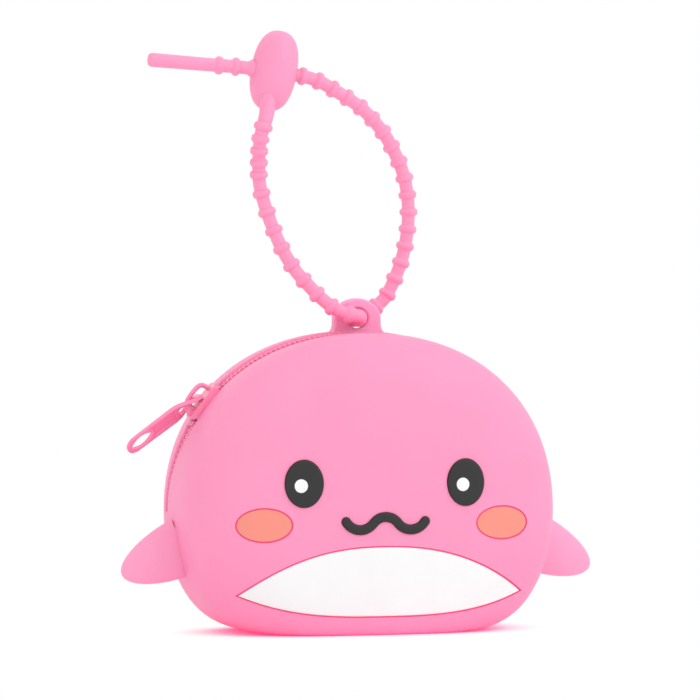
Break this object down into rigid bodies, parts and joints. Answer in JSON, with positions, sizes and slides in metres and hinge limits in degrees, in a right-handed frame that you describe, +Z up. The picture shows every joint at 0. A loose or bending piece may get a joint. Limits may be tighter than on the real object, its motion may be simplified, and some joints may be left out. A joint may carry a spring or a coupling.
{
  "type": "zip coin purse",
  "caption": "Pink silicone coin purse in the form of a small whale, zipped over the top, with a ribbed wrist strap cinched by a bead.",
  "frame": {"origin": "middle of the flat base, on the table", "axes": "+X to the viewer's right of the face, +Y towards the back, +Z up"},
  "size_m": [0.1322, 0.0487, 0.1615],
  "materials": {
    "pink_silicone": "soft matte moulded silicone",
    "black_silicone": "matte moulded silicone",
    "white_silicone": "matte moulded silicone",
    "coral_silicone": "matte moulded silicone",
    "zip_tape": "woven polyester tape",
    "zip_teeth": "dyed nylon coil",
    "painted_zip_metal": "glossy baked paint on zinc"
  },
  "bodies": {
    "rear_body": {"rear_shell": "pink_silicone", "left_fin": "pink_silicone", "right_fin": "pink_silicone", "strap_lug": "pink_silicone", "rear_zip_tape": "zip_tape", "rear_zip_coil": "zip_teeth", "rear_top_stop": "zip_teeth", "bottom_stop": "zip_teeth"},
    "front_body": {"front_shell": "pink_silicone", "front_zip_tape": "zip_tape", "front_zip_coil": "zip_teeth", "front_top_stop": "zip_teeth", "left_eye": "black_silicone", "right_eye": "black_silicone", "left_pupil": "white_silicone", "right_pupil": "white_silicone", "mouth": "black_silicone", "left_cheek": "coral_silicone", "right_cheek": "coral_silicone", "belly_patch": "white_silicone"},
    "slider": {"slider_body": "painted_zip_metal"},
    "tab": {"pull_tab": "painted_zip_metal"},
    "strap": {"strap_cord": "pink_silicone", "strap_bead": "pink_silicone"}
  },
  "joints": [
    {"name": "zip_travel", "type": "hinge", "parent": "rear_body", "child": "slider", "pos_m": [0, 0, 0.0285], "axis": [0, 1, 0], "range_deg": [0, 123], "deforming": ["front_zip_tape", "front_zip_coil", "rear_zip_coil", "strap_cord"]},
    {"name": "mouth_open", "type": "hinge", "parent": "rear_body", "child": "front_body", "pos_m": [0, -0.022, 0], "axis": [1, 0, 0], "range_deg": [0, 14.76]},
    {"name": "tab_swing", "type": "hinge", "parent": "slider", "child": "tab", "pos_m": [-0.04492, 0, 0.06285], "axis": [0, 1, 0], "range_deg": [-4, 146]},
    {"name": "strap_swing", "type": "hinge", "parent": "rear_body", "child": "strap", "pos_m": [0.001, 0.0057, 0.0841], "axis": [0, 1, 0], "range_deg": [-30, 35]}
  ],
  "couplings": [
    {"joint": "mouth_open", "follows": "zip_travel", "ratio": 0.12}
  ]
}
